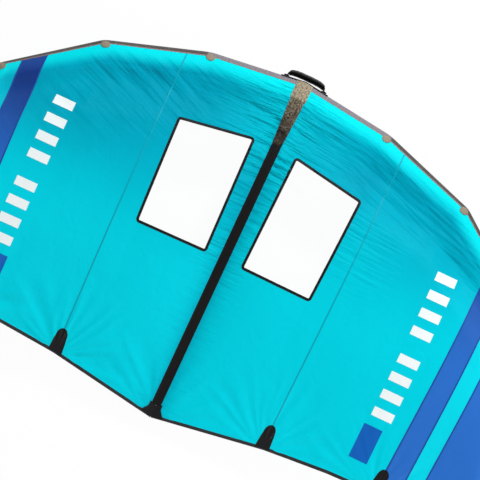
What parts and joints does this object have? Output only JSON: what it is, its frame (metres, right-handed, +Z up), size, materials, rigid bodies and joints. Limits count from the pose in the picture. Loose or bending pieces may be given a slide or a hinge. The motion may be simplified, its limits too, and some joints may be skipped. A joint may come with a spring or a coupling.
{
  "type": "wingfoil wing",
  "caption": "Inflatable hand-held wing for foil boarding: kinked leading-edge tube, centre strut, panelled cloth canopy with clear windows, padded handles, inflation valve and air hose.",
  "frame": {"origin": "on the ground under the middle of the wing's outline", "axes": "+X along the span, +Y towards the leading edge, +Z up, out of the canopy's upper side"},
  "size_m": [3.5536, 2.0103, 0.4616],
  "materials": {
    "canopy_cyan": "taut woven cloth",
    "canopy_blue": "taut woven cloth",
    "canopy_light": "taut woven cloth",
    "casing_cyan": "heavy woven cloth over the bladder",
    "tape_black": "coated reinforcement cloth",
    "strut_black": "heavy woven cloth",
    "scuff_grey": "coated scuff cloth",
    "patch_khaki": "coated scuff cloth",
    "webbing_black": "woven webbing",
    "pad_black": "padded sleeve",
    "window_film": "clear film",
    "bladder_film": "clear film",
    "hose_clear": "clear tube",
    "valve_black": "moulded",
    "membrane_grey": "moulded",
    "clip_white": "moulded",
    "batten_grey": "glass-fibre strip"
  },
  "bodies": {
    "wing": {"centre_band": "tape_black", "centre_trailing_patch": "tape_black", "leading_bladder": "bladder_film", "nose_wrap": "patch_khaki", "nose_handle_patch": "tape_black", "strut_casing": "strut_black", "strut_bladder": "bladder_film", "strut_end_cap": "tape_black", "strut_keel_patch": "tape_black", "valve_base": "valve_black", "pump_hose": "hose_clear", "hose_clip_body": "clip_white", "left_inner_panel": "canopy_cyan", "left_middle_panel": "canopy_cyan", "left_dark_stripe": "canopy_blue", "left_light_stripe": "canopy_light", "left_tip_panel": "canopy_blue", "left_window": "window_film", "left_window_frame": "tape_black", "left_pocket_patch_1": "tape_black", "left_pocket_patch_2": "tape_black", "left_trailing_hem": "tape_black", "left_batten": "batten_grey", "left_leading_casing_1": "casing_cyan", "left_leading_casing_2": "casing_cyan", "left_leading_casing_3": "casing_cyan", "left_leading_casing_4": "casing_cyan", "left_scuff_strip": "scuff_grey", "left_joint_dot_1": "patch_khaki", "left_joint_dot_2": "patch_khaki", "left_joint_dot_3": "patch_khaki", "right_inner_panel": "canopy_cyan", "right_middle_panel": "canopy_cyan", "right_dark_stripe": "canopy_blue", "right_light_stripe": "canopy_light", "right_tip_panel": "canopy_blue", "right_window": "window_film", "right_window_frame": "tape_black", "right_pocket_patch_1": "tape_black", "right_pocket_patch_2": "tape_black", "right_trailing_hem": "tape_black", "right_batten": "batten_grey", "right_leading_casing_1": "casing_cyan", "right_leading_casing_2": "casing_cyan", "right_leading_casing_3": "casing_cyan", "right_leading_casing_4": "casing_cyan", "right_scuff_strip": "scuff_grey", "right_joint_dot_1": "patch_khaki", "right_joint_dot_2": "patch_khaki", "right_joint_dot_3": "patch_khaki"},
    "nose_handle": {"nose_handle_strap": "webbing_black", "nose_handle_pad": "pad_black"},
    "front_handle": {"front_handle_strap": "webbing_black", "front_handle_pad": "pad_black"},
    "rear_handle": {"rear_handle_strap": "webbing_black", "rear_handle_pad": "pad_black"},
    "leash": {"leash_loop": "webbing_black"},
    "cap": {"valve_cap": "valve_black"},
    "plunger": {"valve_plunger": "membrane_grey"},
    "clip_lever": {"hose_clip_lever": "clip_white"}
  },
  "joints": [
    {"name": "nose_handle_swing", "type": "hinge", "parent": "wing", "child": "nose_handle", "pos_m": [0, 0.95192, 0.08768], "axis": [1, 0, 0], "range_deg": [-4, 60]},
    {"name": "front_handle_swing", "type": "hinge", "parent": "wing", "child": "front_handle", "pos_m": [0, 0.31985, 0.12547], "axis": [0, 0.9999, -0.0109], "range_deg": [-60, 60]},
    {"name": "rear_handle_swing", "type": "hinge", "parent": "wing", "child": "rear_handle", "pos_m": [0, -0.17015, 0.09009], "axis": [0, 0.9899, 0.1421], "range_deg": [-60, 60]},
    {"name": "leash_swing", "type": "hinge", "parent": "wing", "child": "leash", "pos_m": [0, 0.48985, 0.12046], "axis": [0, 0.9971, -0.0761], "range_deg": [-50, 50]},
    {"name": "cap_hinge", "type": "hinge", "parent": "wing", "child": "cap", "pos_m": [0.29738, 0.71498, 0.08846], "axis": [-0.0157, -0.1515, 0.9883], "range_deg": [0, 95]},
    {"name": "plunger_push", "type": "slide", "parent": "wing", "child": "plunger", "axis": [0.1016, 0.9831, 0.1523], "range_m": [0, 0.004], "stiffness_N_per_m": 300},
    {"name": "clip_lever_turn", "type": "hinge", "parent": "wing", "child": "clip_lever", "pos_m": [-0.17056, 0.62679, 0.12601], "axis": [0.7377, -0.3627, 0.5695], "range_deg": [0, 75]}
  ]
}
